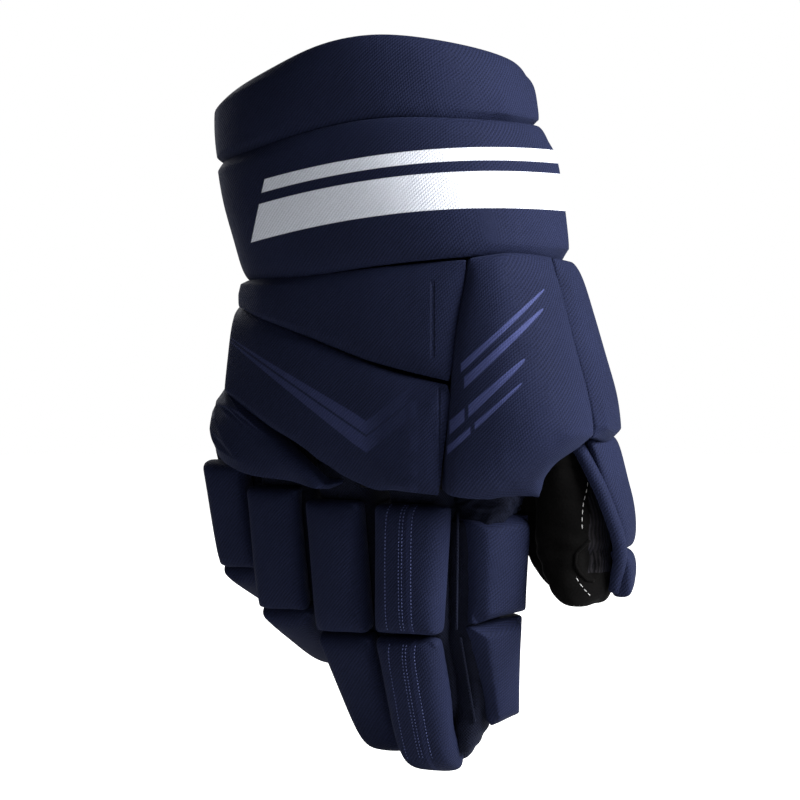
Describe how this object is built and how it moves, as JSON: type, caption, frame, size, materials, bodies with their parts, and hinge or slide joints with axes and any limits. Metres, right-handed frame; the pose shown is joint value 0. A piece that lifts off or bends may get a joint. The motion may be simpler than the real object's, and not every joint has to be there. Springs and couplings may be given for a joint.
{
  "type": "ice hockey glove",
  "caption": "Padded right-hand ice hockey glove with segmented finger rolls, backhand pads, thumb guard, wide wrist band and flared cuff, with flexing wrist, fingers and thumb.",
  "frame": {"origin": "middle of the hand opening at the top of the cuff", "axes": "+Z from the fingers to the cuff, -Y the back of the hand, +Y the palm, +X the thumb side"},
  "size_m": [0.2107, 0.1115, 0.348],
  "materials": {
    "woven_cover": "matte woven nylon",
    "foam": "matte closed-cell foam",
    "plastic_insert": "satin polyethylene sheet",
    "suede": "matte synthetic suede",
    "palm_overlay": "matte synthetic suede, embossed",
    "lining": "brushed knit",
    "knit": "matte stretch knit"
  },
  "bodies": {
    "hand": {"upper_pad_cover": "woven_cover", "upper_pad_foam": "foam", "upper_pad_insert": "plastic_insert", "middle_pad_cover": "woven_cover", "middle_pad_foam": "foam", "middle_pad_insert": "plastic_insert", "lower_pad_cover": "woven_cover", "lower_pad_foam": "foam", "side_panel_cover": "woven_cover", "side_panel_foam": "foam", "side_guard_cover": "woven_cover", "side_guard_foam": "foam", "backhand_base": "knit", "hand_lining": "lining", "thumb_gusset": "knit", "palm_panel": "suede", "palm_overlay": "palm_overlay", "thumb_web": "suede"},
    "cuff": {"cuff_pad_cover": "woven_cover", "cuff_pad_foam": "foam", "wrist_band_cover": "woven_cover", "wrist_band_foam": "foam", "cuff_palm_panel": "woven_cover", "cuff_lining": "lining"},
    "little_knuckle": {"little_knuckle_cover": "woven_cover", "little_knuckle_foam": "foam", "little_knuckle_sleeve": "knit"},
    "little_tip": {"little_tip_cover": "woven_cover", "little_tip_foam": "foam", "little_tip_sleeve": "knit"},
    "ring_knuckle": {"ring_knuckle_cover": "woven_cover", "ring_knuckle_foam": "foam", "ring_knuckle_sleeve": "knit"},
    "ring_tip": {"ring_tip_cover": "woven_cover", "ring_tip_foam": "foam", "ring_tip_sleeve": "knit"},
    "middle_knuckle": {"middle_knuckle_cover": "woven_cover", "middle_knuckle_foam": "foam", "middle_knuckle_sleeve": "knit"},
    "middle_tip": {"middle_tip_cover": "woven_cover", "middle_tip_foam": "foam", "middle_tip_sleeve": "knit"},
    "index_knuckle": {"index_knuckle_cover": "woven_cover", "index_knuckle_foam": "foam", "index_knuckle_sleeve": "knit", "index_side_knuckle_cover": "woven_cover", "index_side_knuckle_foam": "foam"},
    "index_tip": {"index_tip_cover": "woven_cover", "index_tip_foam": "foam", "index_tip_sleeve": "knit", "index_side_tip_cover": "woven_cover", "index_side_tip_foam": "foam"},
    "thumb_base": {"thumb_base_cover": "woven_cover", "thumb_base_foam": "foam", "thumb_splint": "plastic_insert", "thumb_base_sleeve": "suede"},
    "thumb_tip": {"thumb_tip_cover": "woven_cover", "thumb_tip_foam": "foam", "thumb_tip_sleeve": "suede"}
  },
  "joints": [
    {"name": "wrist_flex", "type": "hinge", "parent": "hand", "child": "cuff", "pos_m": [0, 0.048, -0.092], "axis": [-1, 0, 0], "range_deg": [0, 18], "stiffness_Nm_per_rad": 0.8, "springref_deg": -2.86},
    {"name": "little_knuckle_flex", "type": "hinge", "parent": "hand", "child": "little_knuckle", "pos_m": [-0.07225, 0.0115, -0.1793], "axis": [1, 0, 0], "range_deg": [0, 45], "stiffness_Nm_per_rad": 0.3, "springref_deg": -14.32},
    {"name": "little_middle_flex", "type": "hinge", "parent": "little_knuckle", "child": "little_tip", "pos_m": [-0.07225, 0.02154, -0.21021], "axis": [1, 0, 0], "range_deg": [0, 35], "stiffness_Nm_per_rad": 0.3, "springref_deg": -14.32},
    {"name": "ring_knuckle_flex", "type": "hinge", "parent": "hand", "child": "ring_knuckle", "pos_m": [-0.039, 0.007, -0.192], "axis": [1, 0, 0], "range_deg": [0, 50], "stiffness_Nm_per_rad": 0.3, "springref_deg": -14.32},
    {"name": "ring_middle_flex", "type": "hinge", "parent": "ring_knuckle", "child": "ring_tip", "pos_m": [-0.039, 0.01451, -0.22731], "axis": [1, 0, 0], "range_deg": [0, 35], "stiffness_Nm_per_rad": 0.3, "springref_deg": -14.32},
    {"name": "middle_knuckle_flex", "type": "hinge", "parent": "hand", "child": "middle_knuckle", "pos_m": [-0.00375, 0.005, -0.1978], "axis": [1, 0, 0], "range_deg": [0, 56], "stiffness_Nm_per_rad": 0.3, "springref_deg": -14.32},
    {"name": "middle_middle_flex", "type": "hinge", "parent": "middle_knuckle", "child": "middle_tip", "pos_m": [-0.00375, 0.01238, -0.25028], "axis": [1, 0, 0], "range_deg": [0, 65], "stiffness_Nm_per_rad": 0.3, "springref_deg": -14.32},
    {"name": "index_knuckle_flex", "type": "hinge", "parent": "hand", "child": "index_knuckle", "pos_m": [0.03225, 0.005, -0.1994], "axis": [1, 0, 0], "range_deg": [0, 60], "stiffness_Nm_per_rad": 0.3, "springref_deg": -14.32},
    {"name": "index_middle_flex", "type": "hinge", "parent": "index_knuckle", "child": "index_tip", "pos_m": [0.03225, 0.00896, -0.25606], "axis": [1, 0, 0], "range_deg": [0, 57], "stiffness_Nm_per_rad": 0.3, "springref_deg": -14.32},
    {"name": "thumb_base_flex", "type": "hinge", "parent": "hand", "child": "thumb_base", "pos_m": [0.095, 0.047, -0.1755], "axis": [1, 0, 0], "range_deg": [0, 25], "stiffness_Nm_per_rad": 0.3, "springref_deg": -14.32, "deforming": ["thumb_web"]},
    {"name": "thumb_tip_flex", "type": "hinge", "parent": "thumb_base", "child": "thumb_tip", "pos_m": [0.095, 0.047, -0.2235], "axis": [1, 0, 0], "range_deg": [0, 30], "stiffness_Nm_per_rad": 0.3, "springref_deg": -14.32}
  ]
}
